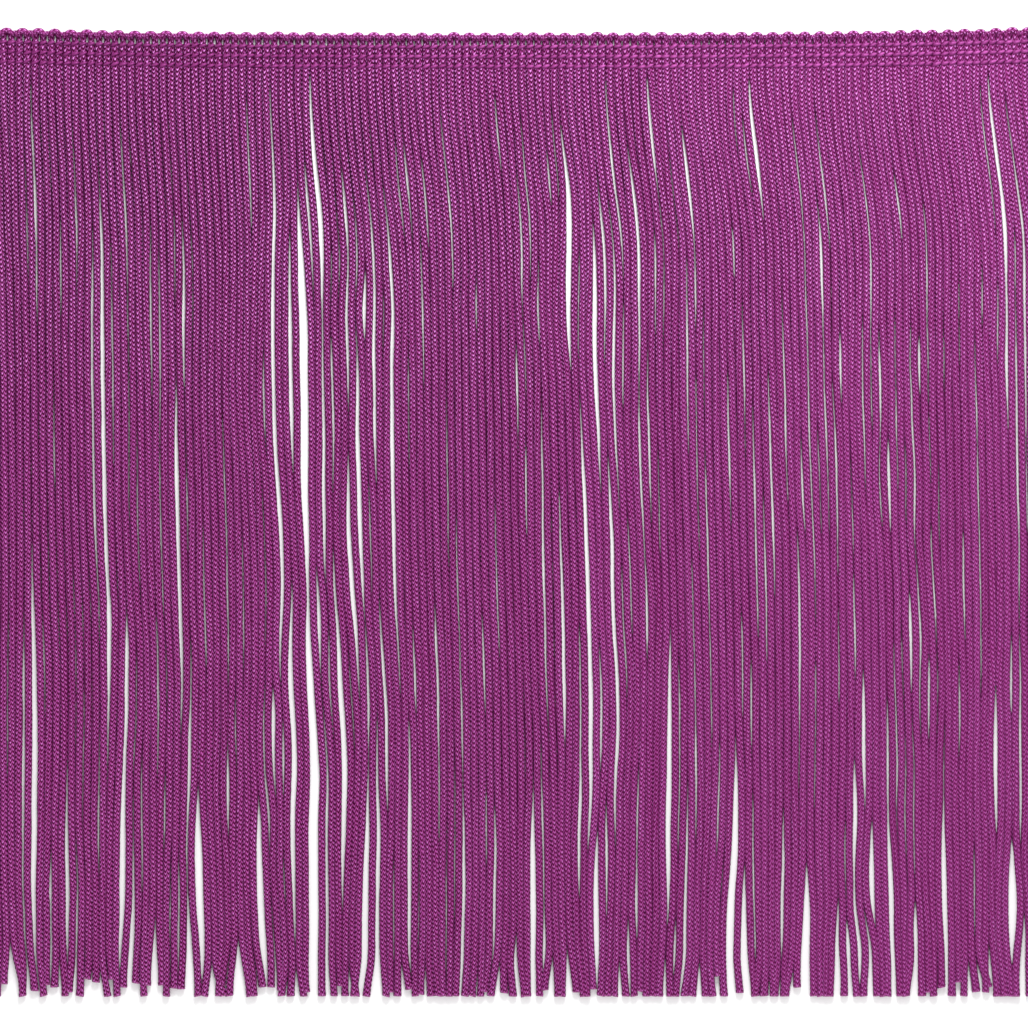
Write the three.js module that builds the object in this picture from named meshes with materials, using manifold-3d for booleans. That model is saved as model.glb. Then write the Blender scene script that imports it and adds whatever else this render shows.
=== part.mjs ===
// Chainette fringe trim, a cut length lying flat on its back, in millimetres.
// The heading points to +Y, the free cords to -Y, and the front faces +Z.
// Shapes are worked out on the trim itself: "across" runs from its left end, and "down" from the tops of
// the hairpin turns at the two ends. At the end the whole trim is centred over the origin.

import * as THREE from 'three';
import { mergeVertices } from 'three/addons/utils/BufferGeometryUtils.js';
import Module from 'manifold-3d';

// The cords: one knitted cord laid back and forth, cut open at the foot
const hairpins = 66;
const cords = hairpins * 2;
const cordPitch = 2.516;
const trimWidth = cords * cordPitch;
const cutLine = 305.7;
const strandWidth = 1.9;
const strandHeight = 1.6;
const strandGap = 0.3;
const strandSections = 8;
const spreadPasses = 200;

// The heading: cords sewn side by side, with a hump over each hairpin turn
const headingFoot = 9.7;
const headingCrest = 1.7;
const headingValley = 1.35;
const humpHeight = 1.3;
const saddleDown = 1.6;
const edgeRound = 0.9;
const columnsPerTurn = 4;
const bowDepth = 1.74;

// The strip under the lowest stitching, which holds the roots of the free cords
const stripTop = 10;
const stripFoot = 11.6;

// The stitching, three threads laid over the heading
const stitchDowns = [4.5, 7.6, 10.7];
const threadWidth = 0.75;
const threadHeight = 0.5;
const threadSteps = 33;

// How the free cords lean and drift to the right on their way down
const leanLeft = 1.9;
const leanRight = 7.2;
const leanFoot = 74;
const driftEnds = 1.3;
const driftMiddle = 2.5;
const driftFoot = 240;

// Partings between the cords. Each one is widest at one place and closes above and below it, unless it runs
// out past the cut ends. It pushes its neighbours aside, and each further cord by less.
const neighbours = 4;
const pastCut = 338;
const partings = [
  // across, top, widest, foot, gap
  [81.8, 289, 306, pastCut, 2.8],
  [100.6, 48, 108, 182.5, 2.5],
  [104.7, 171.5, 266, pastCut, 2.5],
  [324.2, 256.5, 276, 296, 2.1],
  [259, 263, 294, pastCut, 2.05],
  [67.7, 238.5, 267, 310, 1.9],
  [65.4, 274.5, 306, pastCut, 1.9],
  [10.4, 291, 306, pastCut, 1.9],
  [123.5, 288, 307, pastCut, 1.9],
  [226.4, 295.6, 307, pastCut, 1.9],
  [240.3, 262, 304, pastCut, 1.75],
  [185.4, 27.5, 74, 107, 1.7],
  [88.7, 240, 275, pastCut, 1.65],
  [99.2, 173, 225, 293, 1.65],
  [113.4, 169, 225, 283, 1.65],
  [237.3, 222, 285, pastCut, 1.65],
  [164.2, 296, 307, pastCut, 1.6],
  [16, 162, 253, 300.6, 1.5],
  [216.3, 187.6, 250, 284, 1.45],
  [43.9, 218, 269, 300.6, 1.4],
  [105.2, 12, 51, 95.4, 1.4],
  [115.9, 130, 177.5, 212, 1.4],
  [120, 231, 285, pastCut, 1.4],
  [278.9, 250, 267, 285, 1.4],
  [321.8, 12.6, 65.4, 86, 1.4],
  [182.8, 290.5, 307, pastCut, 1.4],
  [40.4, 165, 190.7, 220, 1.35],
  [173.7, 239.7, 266, pastCut, 1.35],
  [118.4, 89.4, 155.4, 184, 1.3],
  [191.7, 112, 206, 263, 1.3],
  [193.3, 250, 282, 302, 1.3],
  [193, 56, 89, 148, 1.3],
  [319, 206, 231, 255, 1.3],
];

// Cords that were cut short of the cut line
const shortCuts = [
  // across, short
  [6.2, 3.8],
  [12.5, 2.8],
  [16.9, 3.5],
  [19.3, 3.5],
  [23.7, 2.8],
  [31.1, 5.4],
  [33.6, 4.4],
  [41.5, 5.4],
  [44.8, 2.8],
  [48.6, 4.1],
  [52.9, 3.5],
  [55.9, 3.5],
  [75, 3.2],
  [87.5, 2.8],
  [91.3, 2.8],
  [112.7, 3.2],
  [138, 7.6],
  [232.7, 6.3],
  [257.7, 2.8],
  [303.8, 2.8],
  [307.9, 4.4],
  [315.3, 2.8],
];

const { smoothstep } = THREE.MathUtils;

const cordColour = new THREE.Color('#8a3a76');
const threadColour = new THREE.Color('#b05a98');
const cordRoughness = 0.5;
const threadRoughness = 0.35;

function yarn(color, roughness) {
  return new THREE.MeshStandardMaterial({ color, roughness, metalness: 0 });
}

// A closed solid through a row of rings with the same number of points, wound so that its faces point out
function loft(rings) {
  const size = rings[0].length;
  const position = rings.flat(2);
  const index = [];
  for (let ring = 0; ring < rings.length - 1; ring++) {
    for (let side = 0; side < size; side++) {
      const a = ring * size + side;
      const b = ring * size + (side + 1) % size;
      index.push(a, b, b + size, a, b + size, a + size);
    }
  }
  const last = (rings.length - 1) * size;
  for (let side = 1; side < size - 1; side++) {
    index.push(0, side + 1, side);
    index.push(last, last + side, last + side + 1);
  }
  const geometry = new THREE.BufferGeometry();
  geometry.setAttribute('position', new THREE.Float32BufferAttribute(position, 3));
  geometry.setIndex(index);
  return geometry;
}

// The heading sags a little between its ends
function bow(across) {
  const fromMiddle = Math.abs(2 * across / trimWidth - 1);
  return bowDepth * (1 - fromMiddle ** 3);
}

// Where a cord lies before any parting moves it
function restPlace(cord, down) {
  const root = (cord + 0.5) * cordPitch;
  const share = root / trimWidth;
  const lean = leanLeft + (leanRight - leanLeft) * share;
  const drift = driftEnds + (driftMiddle - driftEnds) * Math.sin(Math.PI * share);
  return root + lean * smoothstep(down, stripFoot, leanFoot) + drift * smoothstep(down, leanFoot, driftFoot);
}

// How far a parting is open at one height, from 0 to 1
function openAt(down, top, widest, foot) {
  return down < widest ? smoothstep(down, top, widest) : 1 - smoothstep(down, widest, foot);
}

// Places of all cords at one height, after the partings whose cord pair is already known
function placesAt(down, opened) {
  const places = [];
  for (let cord = 0; cord < cords; cord++) {
    let place = restPlace(cord, down);
    for (const { after, top, widest, foot, gap } of opened) {
      const right = cord > after;
      const steps = right ? cord - after - 1 : after - cord;
      const push = gap / 2 * Math.exp(-steps / neighbours) * openAt(down, top, widest, foot);
      place += right ? push : -push;
    }
    places.push(place);
  }
  return places;
}

// Each parting opens between the pair of cords nearest to its place
const opened = [];
for (const [across, top, widest, foot, gap] of partings) {
  const places = placesAt(Math.min(widest, cutLine), opened);
  let after = 0;
  for (let cord = 1; cord < cords - 1; cord++) {
    const here = Math.abs((places[cord] + places[cord + 1]) / 2 - across);
    const best = Math.abs((places[after] + places[after + 1]) / 2 - across);
    if (here < best) after = cord;
  }
  opened.push({ after, top, widest, foot, gap });
}

// Cords that would touch push each other apart
function spread(places) {
  const apart = strandWidth + strandGap;
  for (let pass = 0; pass < spreadPasses; pass++) {
    for (let cord = 0; cord < cords - 1; cord++) {
      const lack = apart - (places[cord + 1] - places[cord]);
      if (lack > 0) {
        places[cord] -= lack / 2;
        places[cord + 1] += lack / 2;
      }
    }
  }
  return places;
}

// Heights of the sections along a free cord, from inside the strip to the cut line
const rootDown = (stripTop + stripFoot) / 2;
const sectionDowns = [];
for (let section = 0; section <= strandSections; section++) {
  sectionDowns.push(rootDown + (cutLine - rootDown) * section / strandSections);
}
const sectionPlaces = sectionDowns.map((down) => spread(placesAt(down, opened)));

// How much shorter than the cut line each cord ends
const cutShort = new Array(cords).fill(0);
const footPlaces = sectionPlaces[strandSections];
for (const [across, short] of shortCuts) {
  const distances = footPlaces.map((place) => Math.abs(place - across));
  cutShort[distances.indexOf(Math.min(...distances))] = short;
}

// One free cord, a four-sided strand lying level on the surface
function strand(cord) {
  const rings = sectionDowns.map((sectionDown, section) => {
    const last = section === strandSections;
    const before = sectionPlaces[Math.max(section - 1, 0)][cord];
    const span = (cutLine - rootDown) / strandSections;
    const back = last ? cutShort[cord] / span : 0;
    const place = sectionPlaces[section][cord] * (1 - back) + before * back;
    const down = last ? sectionDown - cutShort[cord] : sectionDown;
    const y = -down - bow((cord + 0.5) * cordPitch) * (1 - section / strandSections);
    const left = place - strandWidth / 2;
    const right = place + strandWidth / 2;
    return [[right, y, 0], [right, y, strandHeight], [left, y, strandHeight], [left, y, 0]];
  });
  return loft(rings);
}

// A bar that follows the bow of the heading, from one end of the trim to the other
function bowedBar(top, foot, low, high, steps) {
  const rings = [];
  for (let step = 0; step <= steps; step++) {
    const across = trimWidth * step / steps;
    const sag = bow(across);
    rings.push([
      [across, -top - sag, low],
      [across, -top - sag, high],
      [across, -foot - sag, high],
      [across, -foot - sag, low],
    ]);
  }
  return loft(rings);
}

const wasm = await Module();
wasm.setup();

function toSolid(geometry) {
  geometry.deleteAttribute('normal');
  geometry.deleteAttribute('uv');
  const merged = mergeVertices(geometry, 1e-4);
  return new wasm.Manifold(new wasm.Mesh({
    numProp: 3,
    vertProperties: new Float32Array(merged.attributes.position.array),
    triVerts: new Uint32Array(merged.index.array),
  }));
}

function toGeometry(solid) {
  const mesh = solid.getMesh();
  const geometry = new THREE.BufferGeometry();
  geometry.setAttribute('position', new THREE.BufferAttribute(mesh.vertProperties, 3));
  geometry.setIndex(new THREE.BufferAttribute(mesh.triVerts, 1));
  return geometry;
}

// The free cords, with their roots fused into the strip
function fringe() {
  let solid = toSolid(bowedBar(stripTop, stripFoot, 0, strandHeight, threadSteps));
  for (let cord = 0; cord < cords; cord++) {
    solid = solid.add(toSolid(strand(cord)));
  }
  const mesh = new THREE.Mesh(toGeometry(solid), yarn(cordColour, cordRoughness));
  mesh.name = 'fringe';
  return mesh;
}

// The heading, ribbed by its cords, its top edge scalloped by the hairpin turns
function heading() {
  const columns = hairpins * columnsPerTurn;
  const rings = [];
  for (let column = 0; column <= columns; column++) {
    const across = trimWidth * column / columns;
    const sag = bow(across);
    const front = column % 2 === 1 ? headingCrest : headingValley;
    const turn = Math.sin(Math.PI * (column % columnsPerTurn) / columnsPerTurn);
    const top = -saddleDown + humpHeight * Math.sqrt(turn) - sag;
    const foot = -headingFoot - sag;
    rings.push([
      [across, foot, 0],
      [across, top - edgeRound / 2, 0],
      [across, top, front / 2],
      [across, top - edgeRound, front],
      [across, foot, front],
    ]);
  }
  const mesh = new THREE.Mesh(loft(rings), yarn(cordColour, cordRoughness));
  mesh.name = 'heading';
  return mesh;
}

// One row of stitching, a thread lying over the front of the heading
function stitchRow(row) {
  const middle = stitchDowns[row];
  const low = headingCrest + strandGap;
  const top = middle - threadWidth / 2;
  const foot = middle + threadWidth / 2;
  const bar = bowedBar(top, foot, low, low + threadHeight, threadSteps);
  const mesh = new THREE.Mesh(bar, yarn(threadColour, threadRoughness));
  mesh.name = `stitch_row_${row + 1}`;
  return mesh;
}

const group = new THREE.Group();
group.add(fringe());
group.add(heading());
for (let row = 0; row < stitchDowns.length; row++) {
  group.add(stitchRow(row));
}

// Centre the trim over the origin, with its back on the surface
const box = new THREE.Box3().setFromObject(group);
const centre = box.getCenter(new THREE.Vector3());
group.position.set(-centre.x, -centre.y, -box.min.z);

export default group;
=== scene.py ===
import bpy
import numpy as np
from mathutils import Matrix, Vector


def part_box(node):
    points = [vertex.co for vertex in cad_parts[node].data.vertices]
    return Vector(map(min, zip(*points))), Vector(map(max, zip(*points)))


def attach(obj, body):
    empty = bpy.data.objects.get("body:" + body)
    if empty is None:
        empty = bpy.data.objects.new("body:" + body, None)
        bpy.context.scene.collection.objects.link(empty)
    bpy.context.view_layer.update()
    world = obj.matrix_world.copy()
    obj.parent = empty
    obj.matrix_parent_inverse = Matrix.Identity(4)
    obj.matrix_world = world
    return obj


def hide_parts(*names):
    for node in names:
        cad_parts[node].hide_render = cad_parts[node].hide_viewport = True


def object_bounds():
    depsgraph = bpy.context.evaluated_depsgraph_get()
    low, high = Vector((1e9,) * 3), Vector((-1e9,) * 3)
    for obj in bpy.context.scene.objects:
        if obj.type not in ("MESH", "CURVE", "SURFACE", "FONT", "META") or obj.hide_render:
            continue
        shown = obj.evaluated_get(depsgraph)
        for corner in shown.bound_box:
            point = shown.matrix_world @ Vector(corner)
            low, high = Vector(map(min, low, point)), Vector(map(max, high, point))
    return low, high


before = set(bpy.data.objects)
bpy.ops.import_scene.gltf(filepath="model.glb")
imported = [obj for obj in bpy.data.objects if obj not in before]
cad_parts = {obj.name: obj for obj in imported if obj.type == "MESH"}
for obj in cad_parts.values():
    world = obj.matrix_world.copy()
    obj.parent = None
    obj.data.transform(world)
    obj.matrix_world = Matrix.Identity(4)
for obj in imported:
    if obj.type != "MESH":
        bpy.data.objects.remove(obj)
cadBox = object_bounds()

# Sizes are in millimetres on the trim, "across" from its left end and "down" from the tops of its
# hairpin turns, and they become metres in the frame where a mesh is made
mm = 0.001
dice = np.random.default_rng(41)

trim = {
    "hairpins": 66,  # turns of the one cord along the heading
    "cordPitch": 2.516,  # between cords in the heading
    "cutLine": 305.7,  # from the tops of the turns down to the cut ends
    "bowDepth": 1.74,  # how far the heading sags between its ends
    "freeFrom": 11.6,  # where the cords come free of the stitching
    "rootDown": 10.8,  # where the bow starts to fade along a cord
    "leanLeft": 1.9,  # lean to the right over the first stretch, at the left end
    "leanRight": 7.2,  # and at the right end
    "leanFoot": 74,
    "driftEnds": 1.3,  # further drift to the right, at the two ends
    "driftMiddle": 2.5,  # and in the middle
    "driftFoot": 240,
    "pastCut": 338,  # foot of a parting that is still open at the cut
}
cordCount = trim["hairpins"] * 2
trimWidth = cordCount * trim["cordPitch"]
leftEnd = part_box("heading")[0].x
cutEdge = cadBox[0].y
pastCut = trim["pastCut"]


def toFrame(points):
    # (across, minus down, height) in millimetres to metres in the frame
    across, along, height = np.moveaxis(np.asarray(points, float), -1, 0)
    x = leftEnd + across * mm
    y = cutEdge + (trim["cutLine"] + along) * mm
    return np.stack([x, y, height * mm], -1)


def smoothStep(value, low, high):
    # 0 below low, 1 above high, and 3t^2 - 2t^3 between
    t = np.clip((value - low) / (high - low), 0, 1)
    return t * t * (3 - 2 * t)


def hill(value, middle, width):
    # a bell curve of height 1
    return np.exp(-((value - middle) / width) ** 2)


# The camera looks straight down on the trim
cameraView = {"across": 167.4, "down": 153.5, "frameWidth": 324.6, "lens": 120, "sensor": 36}


def makeCamera(view):
    data = bpy.data.cameras.new("camera")
    data.lens = view["lens"]
    data.sensor_width = view["sensor"]
    data.clip_end = 20
    camera = bpy.data.objects.new("camera", data)
    away = view["lens"] / view["sensor"] * view["frameWidth"]
    camera.location = Vector(toFrame([view["across"], -view["down"], away]))
    bpy.context.scene.collection.objects.link(camera)
    bpy.context.scene.camera = camera


makeCamera(cameraView)
print("camera made")

# Partings between the cords: each is widest at one place, closes above and below it unless it runs out
# past the cut, and pushes its neighbours aside
partings = np.array([
    # across, top, widest, foot, gap
    (319.9, 12.6, 38, 66, 0.95), (322.6, 30, 65.4, 86, 1.1),
    (81.8, 289, 306, pastCut, 2.8), (100.6, 48, 108, 182.5, 2.5),
    (104.7, 171.5, 266, pastCut, 2.5), (324.2, 256.5, 276, 296, 2.1),
    (259, 263, 294, pastCut, 2.05), (67.7, 238.5, 267, 310, 1.9),
    (65.4, 274.5, 306, pastCut, 1.9), (10.4, 291, 306, pastCut, 1.9),
    (123.5, 288, 307, pastCut, 1.9), (226.4, 295.6, 307, pastCut, 1.9),
    (240.3, 262, 304, pastCut, 1.75), (185.4, 27.5, 74, 107, 1.7),
    (88.7, 240, 275, pastCut, 1.65), (99.2, 173, 225, 293, 1.65),
    (113.4, 169, 225, 283, 1.65), (237.3, 222, 285, pastCut, 1.65),
    (164.2, 296, 307, pastCut, 1.6), (16, 162, 253, 300.6, 1.5),
    (216.3, 187.6, 250, 284, 1.45), (43.9, 218, 269, 300.6, 1.4),
    (105.2, 12, 51, 95.4, 1.4), (115.9, 130, 177.5, 212, 1.4),
    (120, 231, 285, pastCut, 1.4), (278.9, 250, 267, 285, 1.4),
    (182.8, 290.5, 307, pastCut, 1.4), (40.4, 165, 190.7, 220, 1.35),
    (173.7, 239.7, 266, pastCut, 1.35), (118.4, 89.4, 155.4, 184, 1.3),
    (191.7, 112, 206, 263, 1.3), (193.3, 250, 282, 302, 1.3),
    (193, 56, 89, 148, 1.3), (319, 206, 231, 255, 1.3),
    (131.7, 297, 307, pastCut, 1.25), (98.8, 297.5, 307, pastCut, 1.25),
    (35.4, 297.5, 307, pastCut, 1.25), (273.6, 296, 307, pastCut, 1.25),
    (118.7, 288, 307, pastCut, 1.25), (169, 286.4, 304, pastCut, 1.1),
    (200.5, 295, 307, pastCut, 1.1), (179.8, 293, 307, pastCut, 0.95),
    (256.4, 297.5, 307, pastCut, 0.95), (38.2, 299, 307, pastCut, 0.95),
    (309.5, 295, 307, pastCut, 0.8), (214.4, 293, 307, pastCut, 0.75),
    (176.8, 280, 291, 302, 0.7), (300.2, 291.5, 307, pastCut, 0.65),
    (316.7, 288, 299, 310, 0.55), (218.7, 280, 291, 310, 0.55),
    (92.7, 207, 217, 244, 1.25), (47.4, 265, 304, pastCut, 1.25),
    (273.5, 281.7, 290, 299, 1.25), (302.5, 240.6, 269, 310, 1.2),
    (96.5, 59, 116, 141, 1.2), (286, 248.5, 268, pastCut, 1.2),
    (270, 274, 302, pastCut, 1.2), (327, 279, 297.5, pastCut, 1.2),
    (37.9, 41.7, 124, 237.5, 1.15), (46, 186, 196, 256, 1.15),
    (61, 108.6, 146, 225, 1.15), (93.5, 15, 142.7, 212, 1.15),
    (243.2, 14, 35.4, 60, 1.15), (275.7, 229.6, 248.5, 275, 1.15),
    (128.8, 45, 133, 205, 1.1), (199.4, 130, 177.5, 263, 1.1),
    (278, 201, 223, 248.5, 1.1), (54.6, 281, 296, 310, 1.1),
    (120.6, 74, 89, 97, 1.05), (107.4, 168, 187, 206, 1),
    (125.4, 179, 209, 254, 1), (134, 214, 259.6, 310, 1),
    (184.3, 143.7, 209, 225, 1), (107.4, 86, 149, 177.5, 0.95),
    (123.8, 218, 275, pastCut, 0.95), (285, 126.6, 139.6, 159.5, 0.95),
    (279.5, 275, 304, pastCut, 0.95), (276.5, 266, 291, pastCut, 0.95),
    (292.9, 177, 190, 210.6, 0.95), (294.6, 275, 284, 310, 0.95),
    (64.9, 202.7, 234.6, 256, 0.9), (25.7, 230.5, 269, 300, 0.9),
    (115, 74, 86, 124, 0.9), (123.6, 40, 120.6, 145, 0.9),
    (187.7, 223, 253, 275, 0.9), (222.3, 28, 48, 69.5, 0.9),
    (294.8, 97.6, 104, 114.6, 0.9), (323, 76, 106, 127, 0.9),
    (205.6, 35, 54, 117.5, 0.85), (63.3, 57.5, 95, 113, 0.8),
    (77, 222, 237.5, 255.5, 0.8), (114.3, 43, 59, 74, 0.8),
    (119.5, 188.5, 203, 237.5, 0.8), (263.9, 55, 72, 95, 0.8),
    (21.5, 263, 270.6, 279.5, 0.8), (103, 40, 59, 87, 0.8),
    (133.6, 38.5, 44, 50, 0.8), (211.3, 13, 32, 52, 0.8),
    (151, 237, 269, pastCut, 0.75), (323.8, 190, 207.5, 216, 0.75),
    (251.5, 244, 282, 295, 0.75), (195.5, 43, 70, 108.6, 0.75),
    (198, 51, 101.7, 155, 0.75), (266.5, 123, 130, 139, 0.7),
    (281.9, 93, 111, 126.6, 0.7), (208.3, 161.7, 187, 199.6, 0.7),
    (16.1, 15.5, 54, 97, 0.7), (34.4, 60.6, 111, 196, 0.7),
    (12.8, 186, 212, 304, 0.7), (95.7, 212, 234, 243.5, 0.7),
    (135.8, 188.5, 206, 218, 0.7), (142.7, 181, 198, 245, 0.7),
    (161.5, 244, 269, 300, 0.7), (207, 113, 132, 168, 0.7),
    (298.6, 196, 210.6, 226, 0.7), (198.6, 13, 45, 83, 0.65),
    (249.5, 104, 149, 180.6, 0.65), (327, 187, 244, 259, 0.65),
    (327.8, 18, 76, 142.7, 0.65), (90.6, 225.5, 240.6, 263.7, 0.65),
    (108.3, 199.6, 294, pastCut, 0.65), (109.6, 95, 108, 149, 0.65),
    (110.2, 161.7, 171, 182.5, 0.65), (139.3, 39.5, 51, 68.5, 0.65),
    (179, 37, 45.5, 54, 0.65), (176.5, 109.6, 174, 193, 0.65),
    (168.6, 97, 109.6, 126.6, 0.65), (195.6, 190, 218.5, 237, 0.65),
    (195.8, 241, 256, 282.6, 0.65), (236.4, 60, 68.5, 77, 0.65),
    (221.7, 234.6, 291, 322.7, 0.65), (203.4, 279.5, 294, 310, 0.65),
    (205.9, 265, 271.6, 291, 0.65), (271.3, 94, 106, 120, 0.65),
    (285.5, 207.8, 232.7, 253, 0.65), (308.9, 158, 168, 195, 0.65),
    (288.3, 42.6, 54, 67, 0.65), (326.2, 81.5, 133, 193, 0.6),
    (257.8, 155, 180.6, 237.5, 0.6), (295.7, 169, 187, 206, 0.6),
    (259.6, 123, 149, 158.5, 0.6), (274.9, 170.5, 187, 207, 0.55),
    (292.4, 90, 142.7, 169.6, 0.55), (162.3, 19, 32, 44, 0.55),
    (155.5, 79.6, 86, 93, 0.55),
])

# Cords cut short of the cut line
shortCuts = np.array([
    # across at the foot, short
    (6.2, 3.8), (12.5, 2.8), (16.9, 3.5), (19.3, 3.5), (23.7, 2.8), (31.1, 5.4), (33.6, 4.4), (41.5, 5.4),
    (44.8, 2.8), (48.6, 4.1), (52.9, 3.5), (55.9, 3.5), (75, 3.2), (87.5, 2.8), (91.3, 2.8), (112.7, 3.2),
    (138, 7.6), (232.7, 6.3), (257.7, 2.8), (303.8, 2.8), (307.9, 4.4), (315.3, 2.8),
    (15.2, 1.6), (26, 1.3), (58.6, 2.5), (63.6, 2.2), (93.5, 1.9), (103.6, 1.3), (127.9, 1.3), (133.6, 2.2),
    (139.7, 0.6), (157.6, 1.3), (162.6, 1), (178.3, 1.9), (185, 1.3), (193.3, 2.2), (207.6, 1.6), (239, 1),
    (298.3, 1.3), (312.6, 1.3), (317.9, 1.3),
])

smallSlits = {
    "count": 205,
    "firstTop": 13,
    "lastTop": 260,
    "shortest": 24,
    "longest": 75,
    "narrowest": 0.2,
    "widest": 0.58,
}

# How the cords share the room: each pull says how firmly a wish is kept, against 1 for a closed pair's
# spacing
placing = {
    "closed": 2.36,  # between cords that lie side by side
    "widen": 1.05,  # partings open by this times the gap that shows
    "widenFoot": 1.42,  # and at the foot by this, over nearFoot
    "nearFoot": (230, 300),
    "soon": 36,  # this far from its ends a parting has reached a first share of its gap
    "soonShare": 0.4,
    "partedPull": 40,
    "partedGap": 0.5,  # a parting this wide is held with all of partedPull
    "tight": 2.12,  # closer than this, cords press back
    "tightPull": 15,
    "rounds": 3,  # times that the cords are placed and tight pairs looked for
    "restPull": 0.03,  # of a cord to its own rest place
    "placePull": 0.8,  # of a parting to its own place, as it drifts with the rest
    "placeReach": 22,  # this far above and below its widest point, or by this share of its length
    "placeShare": 0.36,
    "loosens": (8, 30),  # the stitching holds the pitch above this stretch
    "opens": (10.5, 15),  # but a parting may open from here
    "stiffness": 13,  # stations over which a cord's bends are evened out
    "group": 13,  # cords that bend alike
    "groupStiffness": 41,  # stations over which their common bends are evened out
}


def restPlaces(down):
    # where each cord lies before any parting: its root, a lean to the right that grows along the
    # heading and is done by leanFoot, and a drift that is done by driftFoot
    root = (np.arange(cordCount) + 0.5) * trim["cordPitch"]
    share = root / trimWidth
    lean = trim["leanLeft"] + (trim["leanRight"] - trim["leanLeft"]) * share
    drift = trim["driftEnds"] + (trim["driftMiddle"] - trim["driftEnds"]) * np.sin(np.pi * share)
    leaning = smoothStep(down, trim["freeFrom"], trim["leanFoot"])
    drifting = smoothStep(down, trim["leanFoot"], trim["driftFoot"])
    return root[:, None] + lean[:, None] * leaning + drift[:, None] * drifting


def balance(rest, gap, middle, middlePull, down):
    # Least squares, one small set of equations for each station: every cord is drawn to its rest place,
    # every pair to its spacing, and a parted pair's middle to the parting's place. Pairs that come out
    # tight then press back.
    left = np.arange(cordCount - 1)
    right = left + 1
    cord = np.arange(cordCount)
    loose = smoothStep(down, *placing["loosens"])
    free = smoothStep(down, *placing["opens"])
    spacing = (trim["cordPitch"] + (placing["closed"] - trim["cordPitch"]) * loose + gap * free).T
    pull = 1 + (placing["partedPull"] - 1) * np.clip(gap.T / placing["partedGap"], 0, 1)
    hold = middlePull.T / 4
    for _ in range(placing["rounds"]):
        matrix = np.zeros((len(down), cordCount, cordCount))
        matrix[:, cord, cord] = placing["restPull"]
        matrix[:, left, left] += pull + hold
        matrix[:, right, right] += pull + hold
        matrix[:, left, right] = hold - pull
        matrix[:, right, left] = hold - pull
        wish = placing["restPull"] * rest.T
        wish[:, :-1] += 2 * hold * middle.T - pull * spacing
        wish[:, 1:] += 2 * hold * middle.T + pull * spacing
        places = np.linalg.solve(matrix, wish[..., None])[..., 0]
        tight = np.diff(places, axis=1) < placing["tight"]
        pull = np.where(tight, placing["tightPull"], pull)
        spacing = np.where(tight, placing["tight"], spacing)
    return places.T


def openness(down, top, widest, foot):
    # a share of the gap opens soon below the top of a parting and closes soon above its foot, and the
    # rest grows evenly to its widest point
    soon, share = placing["soon"], placing["soonShare"]
    opening = smoothStep(down, top, min(widest, top + soon))
    closing = smoothStep(down, max(widest, foot - soon), foot)
    whole = np.where(down < widest, smoothStep(down, top, widest), 1 - smoothStep(down, widest, foot))
    return share * np.sqrt(opening * (1 - closing)) + (1 - share) * np.sqrt(whole)


def evened(values, count, axis):
    # the moving mean of an odd count of rows or columns, carried straight on past both ends
    reach = count // 2
    pads = [(0, 0), (0, 0)]
    pads[axis] = (reach, reach)
    padded = np.pad(values, pads, mode="reflect", reflect_type="odd")
    length = values.shape[axis]
    return sum(np.take(padded, np.arange(i, i + length), axis) for i in range(count)) / count


def cordRoutes():
    # the place of each cord at stations down the trim
    down = np.arange(0, trim["cutLine"] + 0.5, 1.0)
    rest = restPlaces(down)
    gap = np.zeros((cordCount - 1, len(down)))
    middle = np.zeros_like(gap)
    middlePull = np.zeros_like(gap)
    for across, top, widest, foot, width in partings:
        station = np.abs(down - widest).argmin()
        here = slice(station, station + 1)
        given = [values[:, here] for values in (rest, gap, middle, middlePull)]
        places = balance(*given, down[here])[:, 0]
        pair = np.abs((places[:-1] + places[1:]) / 2 - across).argmin()
        nearFoot = smoothStep(widest, *placing["nearFoot"])
        more = placing["widen"] + (placing["widenFoot"] - placing["widen"]) * nearFoot
        gap[pair] = np.maximum(gap[pair], more * width * openness(down, top, widest, foot))
        reach = max(placing["placeReach"], placing["placeShare"] * (foot - top))
        hold = placing["placePull"] * hill(down, widest, reach)
        drift = (rest[pair] + rest[pair + 1]) / 2
        middle[pair] = np.where(hold > middlePull[pair], across + drift - drift[station], middle[pair])
        middlePull[pair] = np.maximum(hold, middlePull[pair])
    slits = smallSlits
    for pair in dice.integers(0, cordCount - 1, slits["count"]):
        half = dice.uniform(slits["shortest"], slits["longest"]) / 2
        widest = dice.uniform(slits["firstTop"], slits["lastTop"]) + half
        width = dice.uniform(slits["narrowest"], slits["widest"])
        gap[pair] = np.maximum(gap[pair], width * openness(down, widest - half, widest, widest + half))
    places = balance(rest, gap, middle, middlePull, down)
    groupWay = evened(places - rest, placing["group"], 0)
    places = places - groupWay + evened(groupWay, placing["groupStiffness"], 1)
    return down, evened(places, placing["stiffness"], 1), gap


stationDown, cordPlaces, cordGaps = cordRoutes()
print("cord routes laid", cordPlaces.shape)

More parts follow.
